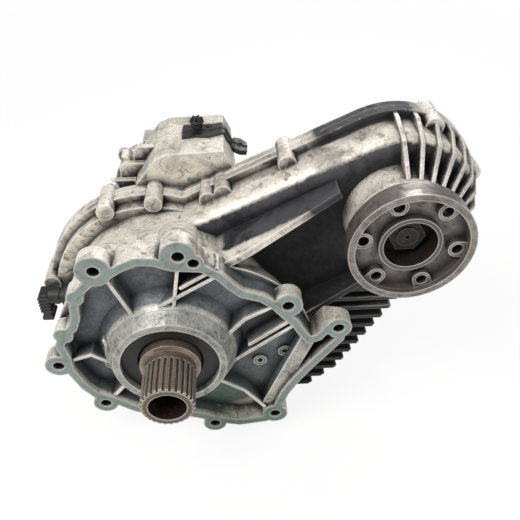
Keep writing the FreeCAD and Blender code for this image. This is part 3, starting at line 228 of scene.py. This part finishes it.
# Sand-cast aluminium, weathered pale on top and black below and in front, which is painted shade mixed with road
# dirt
castSettings = {
    "clean": "#eae3d6",
    "dull": "#a39c92",
    "stain": "#5b544c",
    # black of road dirt and painted shade, laid below, in front and in corners
    "shadeAndGrime": "#100f12",
    "shadeDirt": "#28272b",
    "dryDirt": "#4a494e",
    "web": "#434b52",
    "webPale": "#717a81",
    "bossPale": "#93968f",
    "seepage": "#4d6a58",
    "machined": "#858f8a",
    "machinedStain": "#646c66",
    "worn": "#f2eee6",
    # grain in mm, detail, roughness and twist of each pattern; moulding sand leaves a grain
    # of about 0.3 mm, drawn five times as coarse so that it shows
    "patterns": {
        "grain": (1.5, 3, 0.6, 0),
        "lumps": (6, 3, 0.6, 0),
        "stains": (42, 7, 0.65, 0.6),
        "smears": (11, 6, 0.7, 1.2),
    },
    # corner sets how far painted shade and grime reach into corners, edge how near an edge a spot is rubbed
    "reaches": {"corner": 15, "edge": 2.2},
    "edgeRadius": 1.6,
    "grainDepth": 0.3,
    "lumpShare": 2.4,
    "metal": 0.42,
    "dirtRough": 0.18,
    # where painted shade and caked road dirt darken the casting, in metres and by facing: front walls behind the
    # bell, undersides, the finned sump, the left flank and the crown of the rear half
    "shadeAndCakedDirt": [
        [("faceY", -0.35, -0.92), ("y", 0.044, 0.05), ("y", 0.08, 0.072)],
        [("faceZ", -0.25, -0.75, 0, 0.85)],
        [("z", 0.014, -0.012), ("y", 0.05, 0.056), ("x", 0.03, 0.05)],
        [("faceX", -0.5, -0.85, 0, 0.74), ("y", 0.08, 0.095)],
        [("along", 0.18, 0.21, 0, 0.85), ("y", 0.092, 0.1), ("across", 0.03, 0.07)],
    ],
    # ledges beside both rails of the chain housing, darkened as painted shade
    "railPlaces": (0.058, -0.048),
    "railHalf": (0.0055, 0.0045),
    "ledge": [
        ("nearRail", 0, 1), ("along", 0.075, 0.1), ("along", 0.2135, 0.2125),
        ("y", 0.022, 0.038), ("y", 0.066, 0.062),
    ],
    # how much the smears break up each kind of dirt and painted shade, and the level at which it starts and is
    # full
    "dirtAndShade": {"shadeAndCakedDirt": (0.62, 0.24, 0.52), "cornerGrimeAndShade": (0.5, 0.62, 0.3)},
    # fades by pattern: where bare metal is dull or streaked, where dirt and stains change colour
    "dulled": [("stains", 0.46, 0.64)],
    "streaked": [("smears", 0.54, 0.68, 0, 0.85)],
    "shaded": [("smears", 0.45, 0.66)],
    "paler": [("smears", 0.42, 0.66)],
    "millStained": [("smears", 0.5, 0.7)],
    # how far the grain darkens and lightens bare, wet and milled metal
    "bareGrain": [("grain", 0.3, 0.7, 0.68, 1.12)],
    "wetGrain": [("grain", 0.3, 0.7, 0.75, 1.1)],
    "millGrain": [("grain", 0.3, 0.7, 0.82, 1.1)],
    # rubbed edges show through little of the dirt and painted shade
    "rubbed": [("edge", 0.9, 0.55, 0, 0.7), ("shadeAndCakedDirt", 0, 1, 1, 0.12)],
    "roughness": [("stains", 0.3, 0.7, 0.42, 0.6)],
    # dry dirt lies high up, and the seep runs low and to the right
    "dryPlace": [("across", 0.045, 0.062, 0, 0.6), ("stains", 0.42, 0.55)],
    "seepPlace": [("z", -0.025, -0.08, 0, 0.75), ("x", -0.02, 0.03)],
    "seepOnFace": [("z", -0.03, -0.09, 0, 0.5)],
    # an ellipse in the plane of the mating face: the pocket within, its wall and the boss in its middle
    "pocketShift": (-0.153, 0, 0),
    "pocketScale": (8.5, 0, 9.6),
    "pocket": [("ellipse", 1.04, 0.98, 0, 0.92), ("y", 0.0215, 0.0195), ("y", 0.003, 0.007)],
    "boss": [("ellipse", 0.8, 0.7), ("y", 0.008, -0.002, 0, 0.78)],
    "millFace": [("y", 0.5 * mm, 0.3 * mm), ("y", -0.5 * mm, -0.3 * mm)],
}


def castAluminium(name, s):
    material, tree, shader, place = newMaterial(name)
    guides = surfaceGuides(tree, place, s)
    normal = addNode(tree, "NewGeometry", {}).outputs["Normal"]
    for names, vector in ((("x", "y", "z"), place), (("faceX", "faceY", "faceZ"), normal)):
        guides.update(zip(names, addNode(tree, "SeparateXYZ", {0: vector}).outputs))
    # distances along and across the line from the input's axis to the front output's
    for guide, line in (("along", tilt), ("across", (-tilt.z, 0, tilt.x))):
        product = {"operation": "DOT_PRODUCT", 0: place, 1: line}
        guides[guide] = addNode(tree, "VectorMath", product).outputs["Value"]

    # painted shade mixed with caked road dirt on places, and painted shade with grime soaked into corners, both
    # broken up by smears
    beside = []
    for rail in s["railPlaces"]:
        aside = addNode(tree, "Math", {"operation": "SUBTRACT", 0: guides["across"], 1: rail}).outputs[0]
        guides["aside"] = addNode(tree, "Math", {"operation": "ABSOLUTE", 0: aside}).outputs[0]
        beside.append(maskOf(tree, guides, [("aside", *s["railHalf"])]))
    guides["nearRail"] = largestOf(tree, beside)
    shadeAndCakedDirt = largestOf(tree, [maskOf(tree, guides, fades) for fades in s["shadeAndCakedDirt"] + [s["ledge"]]])
    for guide, mask in (("shadeAndCakedDirt", shadeAndCakedDirt), ("cornerGrimeAndShade", guides["corner"])):
        most, start, end = s["dirtAndShade"][guide]
        smeared = maskOf(tree, guides, [("smears", 0, 1, 0, most)])
        broken = {"operation": "SUBTRACT", "use_clamp": True, 0: mask, 1: smeared}
        guides["broken"] = addNode(tree, "Math", broken).outputs[0]
        guides[guide] = maskOf(tree, guides, [("broken", start, end)])
    crustAndShade = coated(tree, s["shadeAndGrime"], [
        (maskOf(tree, guides, s["shaded"]), s["shadeDirt"]),
        (maskOf(tree, guides, s["dryPlace"]), s["dryDirt"]),
    ])

    # bare metal is pale where it weathers, dull and streaked elsewhere; then the dirt and painted shade
    colour = coated(tree, s["clean"], [
        (maskOf(tree, guides, s["dulled"]), s["dull"]),
        (maskOf(tree, guides, s["streaked"]), s["stain"]),
        (1.0, maskOf(tree, guides, s["bareGrain"]), "MULTIPLY"),
        # painted shade with caked dirt on front walls, undersides and ledges, then painted shade with grime in
        # corners
        (guides["shadeAndCakedDirt"], crustAndShade),
        (guides["cornerGrimeAndShade"], s["shadeAndGrime"]),
    ])

    # the pocket inside the mating rim is a darker blue-grey, with a seep low down and painted shade with grime in
    # its corners
    ellipse = {"Vector": place, "Location": s["pocketShift"], "Scale": s["pocketScale"]}
    ellipse = addNode(tree, "Mapping", ellipse).outputs[0]
    guides["ellipse"] = addNode(tree, "VectorMath", {"operation": "LENGTH", 0: ellipse}).outputs["Value"]
    pocketColour = coated(tree, s["web"], [
        (maskOf(tree, guides, s["paler"]), s["webPale"]),
        (maskOf(tree, guides, s["seepPlace"]), s["seepage"]),
        (1.0, maskOf(tree, guides, s["wetGrain"]), "MULTIPLY"),
        (maskOf(tree, guides, [("cornerGrimeAndShade", 0, 1, 0, 0.85)]), s["shadeAndGrime"]),
    ])
    bossColour = coated(tree, s["bossPale"], [(maskOf(tree, guides, s["paler"]), s["web"])])

    # edges are rubbed bright, joint faces are milled
    guides["worn"] = maskOf(tree, guides, s["rubbed"])
    milled = coated(tree, s["machined"], [
        (maskOf(tree, guides, s["millStained"]), s["machinedStain"]),
        (maskOf(tree, guides, s["seepOnFace"]), s["seepage"]),
        (1.0, maskOf(tree, guides, s["millGrain"]), "MULTIPLY"),
        (maskOf(tree, guides, [("worn", 0, 1, 0, 0.6)]), s["worn"]),
    ])
    guides["face"] = maskOf(tree, guides, s["millFace"])
    colour = coated(tree, colour, [
        (maskOf(tree, guides, s["pocket"]), pocketColour),
        (maskOf(tree, guides, s["boss"]), bossColour),
        (guides["worn"], s["worn"]),
        (guides["face"], milled),
    ])

    # where dirt and painted shade lie, the metal is less metallic and rougher
    dirtAndShade = largestOf(tree, [guides["shadeAndCakedDirt"], guides["cornerGrimeAndShade"]])
    metal = {"operation": "SUBTRACT", "use_clamp": True, 0: s["metal"], 1: dirtAndShade}
    metal = addNode(tree, "Math", metal).outputs[0]
    rough = {"operation": "MULTIPLY_ADD", "use_clamp": True, 0: dirtAndShade, 1: s["dirtRough"]}
    rough[2] = maskOf(tree, guides, s["roughness"])
    rough = addNode(tree, "Math", rough).outputs[0]
    height = {"operation": "MULTIPLY_ADD", 0: guides["lumps"], 1: s["lumpShare"], 2: guides["grain"]}
    height = addNode(tree, "Math", height).outputs[0]
    strength = maskOf(tree, guides, [("face", 0, 1, 1.0, 0.1)])
    finishSurface(tree, shader, s, colour, metal, rough, height, strength)
    return material


# Turned or ground steel: fine tool marks, dark film where oil has dried, deepened by painted shade in corners and
# grooves, freckles of rust, and edges rubbed bright and painted as a highlight
steelShared = {
    # colour of edges rubbed bright and painted as a highlight
    "wornEdgeAndHighlight": "#d8d3cb",
    "edgeRadius": 0.6,
    "grainDepth": 0.08,
    "edgeReach": 1.4,
    "soakedRough": 0.2,
    # corners and grooves darken with dried oil and painted shade
    "cornerGrimeAndShade": [("corner", 0.8, 0.25)],
    "rusty": [("freckles", 0.56, 0.66, 0, 0.7)],
    "metallic": [("filmAndShade", 0, 1, 0.95, 0.2)],
    "marked": [("freckles", 0.2, 0.8, 0.3, 0.8)],
    # grease inside a flange: start and end beyond the hub's radius in metres, and how thick it is
    "greaseRings": [(0.001, 0, 0.99), (0.006, 0.0035, 0.72)],
}
# share is how much film there is, reach how far the film and painted shade creep from a corner in mm,
# worn how bright edges are rubbed and painted as a highlight, hub how wide the grease inside a flange is
# in metres; mark is the tool marks in mm, which are about 0.1 mm on the real steel and drawn coarser so that they
# show
steelSettings = {
    "flange": {
        "steel": "#8f8a86", "filmAndShade": "#1d1916", "rust": "#5d4334",
        "rough": 0.36, "share": 0.82, "reach": 22, "mark": 0.9, "worn": 0.75, "hub": 0.0243,
    },
    "shaft": {
        "steel": "#9a8a7c", "filmAndShade": "#1b120d", "rust": "#6a4836",
        "rough": 0.42, "share": 0.8, "reach": 5, "mark": 0.7, "worn": 0.8, "hub": 0.0175,
    },
    "gear": {
        "steel": "#85827d", "filmAndShade": "#3a332b", "rust": "#4a3a2c",
        "rough": 0.30, "share": 0.35, "reach": 8, "mark": 0.6, "worn": 0.7, "hub": None,
    },
    "bearing": {
        "steel": "#c4c4c4", "filmAndShade": "#6d675e", "rust": "#6b5a48",
        "rough": 0.20, "share": 0.25, "reach": 6, "mark": 0.4, "worn": 0.7, "hub": None,
    },
    "chain": {
        "steel": "#6f6e6d", "filmAndShade": "#2b2723", "rust": "#43352a",
        "rough": 0.36, "share": 0.45, "reach": 6, "mark": 0.8, "worn": 0.7, "hub": None,
    },
    "bolt": {
        "steel": "#a8a598", "filmAndShade": "#4f4637", "rust": "#74492c",
        "rough": 0.38, "share": 0.5, "reach": 8, "mark": 0.8, "worn": 0.6, "hub": None,
    },
    "phosphated": {
        "steel": "#3d3833", "filmAndShade": "#161310", "rust": "#4a3020",
        "rough": 0.5, "share": 0.6, "reach": 14, "mark": 0.6, "worn": 0.15, "hub": 0.0243,
    },
}


def turnedSteel(name, s):
    material, tree, shader, place = newMaterial(name)
    patterns = {"stains": (14, 6, 0.68, 0.5), "freckles": (2.4, 4, 0.7, 0), "marks": (s["mark"], 2, 0.6, 0)}
    reaches = {"corner": s["reach"], "edge": s["edgeReach"]}
    guides = surfaceGuides(tree, place, {"patterns": patterns, "reaches": reaches})
    # painted shade with dried oil, darker the deeper a corner or groove is
    cornerGrimeAndShade = maskOf(tree, guides, s["cornerGrimeAndShade"])
    filmAndShadeMasks = [cornerGrimeAndShade, maskOf(tree, guides, [("stains", 0.4, 0.68, 0, s["share"])])]
    # grease lies black inside both flange hubs, and thinner round it
    if s["hub"]:
        flat = addNode(tree, "VectorMath", {"operation": "MULTIPLY", 0: place, 1: (1, 0, 1)}).outputs[0]
        for axis in ((0, 0, 0), outputAxis):
            away = {"operation": "DISTANCE", 0: flat, 1: axis}
            guides["away"] = addNode(tree, "VectorMath", away).outputs["Value"]
            for start, end, most in s["greaseRings"]:
                filmAndShadeMasks.append(maskOf(tree, guides, [("away", s["hub"] + start, s["hub"] + end, 0, most)]))
    guides["filmAndShade"] = largestOf(tree, filmAndShadeMasks)
    # painted shade and oil film, rust, then edges rubbed bright and painted as a highlight
    colour = coated(tree, s["steel"], [
        (guides["filmAndShade"], s["filmAndShade"]),
        (maskOf(tree, guides, s["rusty"]), s["rust"]),
        (maskOf(tree, guides, [("edge", 0.9, 0.5, 0, s["worn"])]), s["wornEdgeAndHighlight"]),
    ])
    metal = maskOf(tree, guides, s["metallic"])
    rough = {"operation": "MULTIPLY_ADD", "use_clamp": True, 0: cornerGrimeAndShade, 1: s["soakedRough"]}
    rough[2] = maskOf(tree, guides, [("stains", 0.3, 0.75, s["rough"] - 0.06, s["rough"] + 0.14)])
    rough = addNode(tree, "Math", rough).outputs[0]
    strength = maskOf(tree, guides, s["marked"])
    finishSurface(tree, shader, s, colour, metal, rough, guides["marks"], strength)
    return material


# Moulded rubber, plastic and paint: dull dark skins with dust in the corners
skinShared = {
    "reaches": {"corner": 6},
    "edgeRadius": 0.7,
    "dustInCorners": [("corner", 0.8, 0.3, 0, 0.45)],
    "dustInPatches": [("stains", 0.45, 0.75, 0, 0.5)],
    "metallic": [("grain", 0, 1, 0, 0.04)],
    "marked": [("stains", 0.2, 0.8, 0.4, 0.8)],
    "dustRough": 0.35,
    "roughest": 0.9,
}
skinSettings = {
    "nitrileRubber": {
        "colour": "#0e0e10", "dust": "#2c2a27", "rough": 0.48, "grain": 0.9, "grainDepth": 0.05,
    },
    "blackNylon": {
        "colour": "#17181a", "dust": "#46423c", "rough": 0.5, "grain": 0.6, "grainDepth": 0.05,
    },
    "blackPaint": {
        "colour": "#17171a", "dust": "#3f3a36", "rough": 0.38, "grain": 2.4, "grainDepth": 0.1,
    },
    "ferriteMagnet": {
        "colour": "#3a3a3c", "dust": "#232120", "rough": 0.6, "grain": 0.5, "grainDepth": 0.05,
    },
}


def dullSkin(name, s):
    material, tree, shader, place = newMaterial(name)
    patterns = {"grain": (s["grain"], 3, 0.6, 0), "stains": (11, 5, 0.6, 0)}
    guides = surfaceGuides(tree, place, dict(s, patterns=patterns))
    dust = [maskOf(tree, guides, s[where]) for where in ("dustInCorners", "dustInPatches")]
    guides["dusty"] = largestOf(tree, dust)
    colour = coated(tree, s["colour"], [(guides["dusty"], s["dust"])])
    roughDust = min(s["rough"] + s["dustRough"], s["roughest"])
    rough = maskOf(tree, guides, [("dusty", 0, 1, s["rough"], roughDust)])
    metal = maskOf(tree, guides, s["metallic"])
    strength = maskOf(tree, guides, s["marked"])
    finishSurface(tree, shader, s, colour, metal, rough, guides["grain"], strength)
    return material


# Die-cast alloy is paler and smoother, with finer grain and sharper edges
diePatterns = dict(castSettings["patterns"], grain=(0.9, 3, 0.6, 0), stains=(20, 7, 0.65, 0.6))
dieCastSettings = dict(castSettings, clean="#bdbcb8", patterns=diePatterns, grainDepth=0.08, edgeRadius=0.8)
finishes = {
    "sandCastAluminium": castAluminium("sandCastAluminium", castSettings),
    "dieCastAluminium": castAluminium("dieCastAluminium", dieCastSettings),
}
for kind, settings in steelSettings.items():
    finishes[kind + "Steel"] = turnedSteel(kind + "Steel", dict(settings, **steelShared))
for kind, settings in skinSettings.items():
    finishes[kind] = dullSkin(kind, dict(settings, **skinShared))

slotFinish = {
    "case_casting": "sandCastAluminium",
    "fork_alloy": "dieCastAluminium",
    "bearing_steel": "bearingSteel",
    "gear_steel": "gearSteel",
    "shaft_steel": "shaftSteel",
    "flange_steel": "flangeSteel",
    "chain_steel": "chainSteel",
    "bolt_steel": "boltSteel",
    "seal_rubber": "nitrileRubber",
    "bracket_paint": "blackPaint",
    "black_plastic": "blackNylon",
    "magnet": "ferriteMagnet",
}
slotOf = {part["node"]: part["material_slot"] for part in frame["record"]["subparts"]}
phosphatedNodes = ("front_flange_nut", "rear_flange_nut", "front_output_shaft", "main_shaft")
for nodeName, piece in nodes.items():
    piece.data.materials.clear()
    finish = "phosphatedSteel" if nodeName in phosphatedNodes else slotFinish[slotOf[nodeName]]
    piece.data.materials.append(finishes[finish])
print("finishes given to", len(nodes), "pieces")


# Small fittings that need more shape than their solids have, with sizes in mm
def block(mesh, size, place, bevel):
    cube = bmesh.ops.create_cube(mesh, size=1)["verts"]
    bmesh.ops.scale(mesh, vec=[a * mm for a in size], verts=cube)
    bmesh.ops.translate(mesh, vec=[a * mm for a in place], verts=cube)
    edges = list({edge for vertex in cube for edge in vertex.link_edges})
    bmesh.ops.bevel(mesh, geom=edges, offset=bevel * mm, segments=2, affect="EDGES", profile=0.5)


def rod(mesh, radius, length, place, axis, sides=40, tip=None):
    turn = Vector(axis).to_track_quat("Z", "Y").to_matrix().to_4x4()
    settings = {
        "segments": sides,
        "radius1": radius * mm,
        "radius2": (tip or radius) * mm,
        "depth": length * mm,
        "matrix": Matrix.Translation([a * mm for a in place]) @ turn,
    }
    bmesh.ops.create_cone(mesh, cap_ends=True, **settings)


def addPiece(mesh, name, node, finish):
    data = bpy.data.meshes.new(name)
    bmesh.ops.recalc_face_normals(mesh, faces=mesh.faces)
    mesh.to_mesh(data)
    mesh.free()
    data.materials.append(finishes[finish])
    piece = bpy.data.objects.new(name, data)
    bpy.context.scene.collection.objects.link(piece)
    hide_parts(node)
    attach(piece, "case")


# Position switch: hexagon base, necked stem and a ribbed connector with its lock tab
switchSettings = {
    "foot": (-97, 74, 16),
    "axis": (-1, 0, 0.1),
    # radius, start, end and sides of each turned step from the foot outwards
    "steps": [(9, -4, 8, 40), (11.4, 6, 13, 6), (9.8, 13, 15, 40), (7.6, 15, 19, 40), (8.8, 19, 30, 40)],
    "body": (-131, 74, 9),
    # size, offset from the body's middle and edge radius of each moulded block
    "blocks": [
        ((9.6, 16.4, 33), (0, 0, 0), 1.6),
        ((11.6, 19.4, 5), (0, 0, -14), 1.2),
        ((3, 7, 14), (-4.4, 0, 6), 0.8),
    ],
    "ribs": 5,
    "rib": (11.6, 19, 1.8),
    "ribTop": 12,
    "ribPitch": 4.2,
    "ribEdge": 0.5,
}
s = switchSettings
mesh = bmesh.new()
axis = Vector(s["axis"]).normalized()
for radius, start, end, sides in s["steps"]:
    rod(mesh, radius, end - start, Vector(s["foot"]) + axis * (start + end) / 2, axis, sides)
body = Vector(s["body"])
for size, offset, bevel in s["blocks"]:
    block(mesh, size, body + Vector(offset), bevel)
for i in range(s["ribs"]):
    block(mesh, s["rib"], body + Vector((0, 0, s["ribTop"] - i * s["ribPitch"])), s["ribEdge"])
addPiece(mesh, "positionSwitch", "position_switch", "blackNylon")

# Breather: stem, hexagon, skirted cap and a star of vanes on top
breatherSettings = {
    "place": (32, 163),
    # radius, low, high, sides and upper radius of each turned step
    "steps": [
        (4, 156.9, 162, 32, 4),
        (6.6, 159.6, 163, 6, 6.6),
        (5.2, 163, 165, 32, 5.2),
        (7.4, 164.6, 166.8, 40, 6.6),
        (2.4, 166.8, 170.2, 24, 1.8),
    ],
    "vanes": 6,
    "vane": (4.6, 1.3, 2.6),
    "vaneEdge": 0.3,
    "vaneReach": 4,
    "vaneHeight": 168,
    "vaneTurn": 10,
}
s = breatherSettings
mesh = bmesh.new()
x, y = s["place"]
for radius, low, high, sides, tip in s["steps"]:
    rod(mesh, radius, high - low, (x, y, (low + high) / 2), (0, 0, 1), sides, tip)
for i in range(s["vanes"]):
    turn = Matrix.Rotation(math.radians(360 / s["vanes"] * i + s["vaneTurn"]), 3, "Z")
    before = len(mesh.verts)
    block(mesh, s["vane"], (s["vaneReach"], 0, 0), s["vaneEdge"])
    mesh.verts.ensure_lookup_table()
    bmesh.ops.rotate(mesh, cent=(0, 0, 0), matrix=turn, verts=mesh.verts[before:])
    bmesh.ops.translate(mesh, vec=(x * mm, y * mm, s["vaneHeight"] * mm), verts=mesh.verts[before:])
addPiece(mesh, "breather", "breather", "blackNylon")

# Harness bracket: thin bent plate with torn edges, a stiffening bead and two clip studs
bracketSettings = {
    # the plate's bends from left to right, and its torn front and back edge at each
    "path": [
        (17.2, 156.3), (30, 156.9), (44, 157.4), (57, 157.8), (61, 156.6),
        (64.6, 149.5), (67.6, 142.4), (70.4, 140.6), (76, 139), (82.6, 136.9),
    ],
    "front": [148.4, 150.6, 148.2, 153.5, 155, 152.6, 156.5, 151.4, 149, 152.2],
    "back": [176.5, 177.8, 175, 177.6, 171.6, 174.2, 169.4, 176.4, 177.6, 171],
    "thick": 2.0,
    "bead": 1.4,
    # across the plate: share of its width, and rise; the bead runs in the middle and both edges turn down
    "section": [(0, -2.6), (0.03, 0), (0.36, 0), (0.44, 1.4), (0.56, 1.4), (0.64, 0), (0.97, 0), (1, -2.2)],
    "studs": [(44, 170, 156), (74, 164, 138.8)],
    "studRadius": 3.4,
    "studLength": 2.6,
}
s = bracketSettings
mesh = bmesh.new()
path, section = s["path"], s["section"]
sheets = []
for lower in (0, s["thick"]):
    rows = []
    for i, (x, z) in enumerate(path):
        before, after = path[max(i - 1, 0)], path[min(i + 1, len(path) - 1)]
        run = Vector((after[0] - before[0], after[1] - before[1])).normalized()
        row = []
        for share, rise in section:
            up = rise - lower - s["bead"]
            y = s["front"][i] + (s["back"][i] - s["front"][i]) * share
            row.append(mesh.verts.new(((x - run.y * up) * mm, y * mm, (z + run.x * up) * mm)))
        rows.append(row)
    sheets.append(rows)
top, under = sheets
last, wide = len(path) - 1, len(section) - 1
for i in range(last):
    for j in range(wide):
        for rows in sheets:
            mesh.faces.new((rows[i][j], rows[i + 1][j], rows[i + 1][j + 1], rows[i][j + 1]))
    for j in (0, wide):
        mesh.faces.new((top[i][j], top[i + 1][j], under[i + 1][j], under[i][j]))
for i in (0, last):
    for j in range(wide):
        mesh.faces.new((top[i][j], top[i][j + 1], under[i][j + 1], under[i][j]))
for place in s["studs"]:
    rod(mesh, s["studRadius"], s["studLength"], place, (0, 0, 1), 6)
addPiece(mesh, "harnessBracket", "harness_bracket", "blackPaint")
print("switch, breather and bracket modelled")
